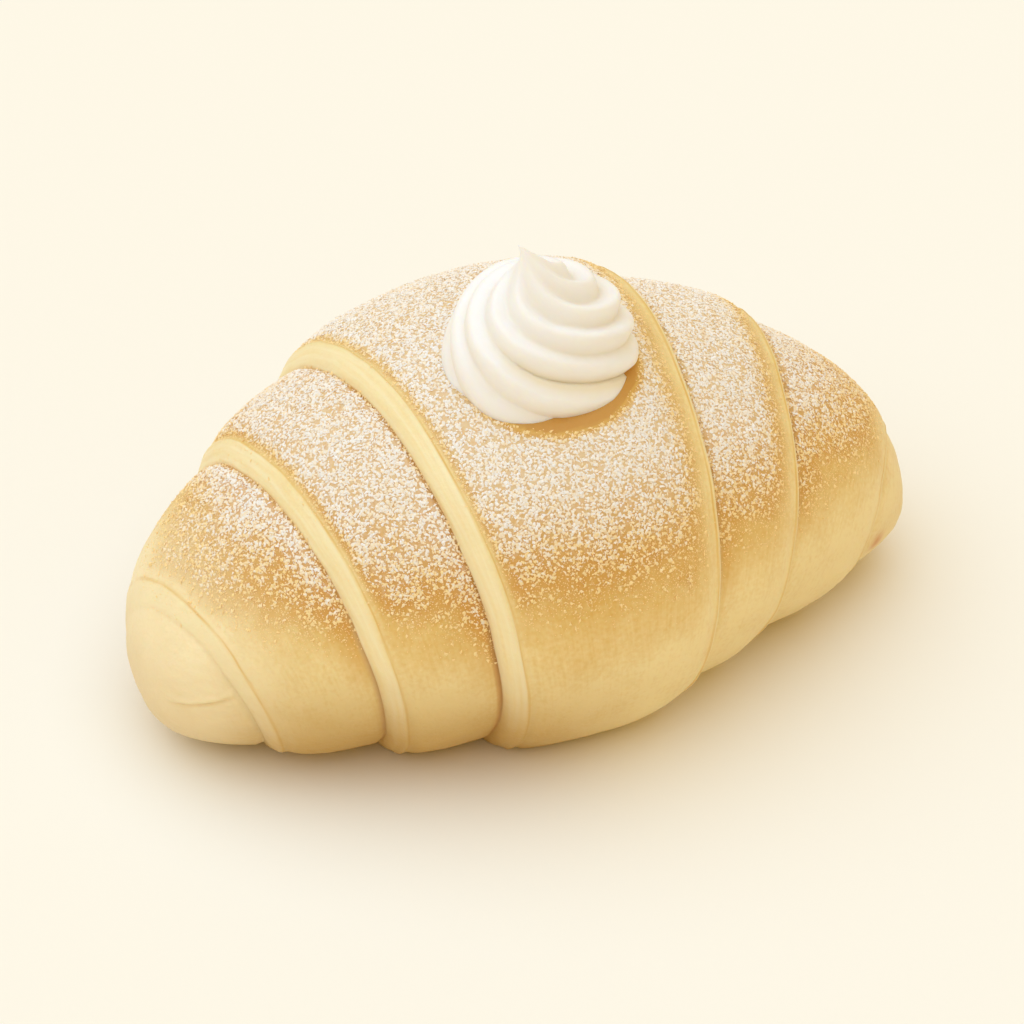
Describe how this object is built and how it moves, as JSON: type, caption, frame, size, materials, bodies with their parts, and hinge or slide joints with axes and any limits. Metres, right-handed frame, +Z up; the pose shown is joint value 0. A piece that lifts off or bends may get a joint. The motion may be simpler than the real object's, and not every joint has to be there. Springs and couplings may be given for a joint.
{
  "type": "cream-topped croissant roll",
  "caption": "Soft rolled milk-bread croissant with rounded overlapping wraps, dusted with icing sugar and topped with a piped swirl of whipped cream.",
  "frame": {"origin": "on the surface that the roll rests on, under the middle of the roll", "axes": "+X along the roll towards its right nose, +Y towards its back, +Z up; the front of the roll faces -Y"},
  "size_m": [0.13, 0.0818, 0.0787],
  "materials": {
    "crust": null,
    "whipped_cream": null,
    "icing_sugar": null
  },
  "bodies": {
    "root": {"roll": "crust", "cream_swirl": "whipped_cream"}
  },
  "joints": []
}
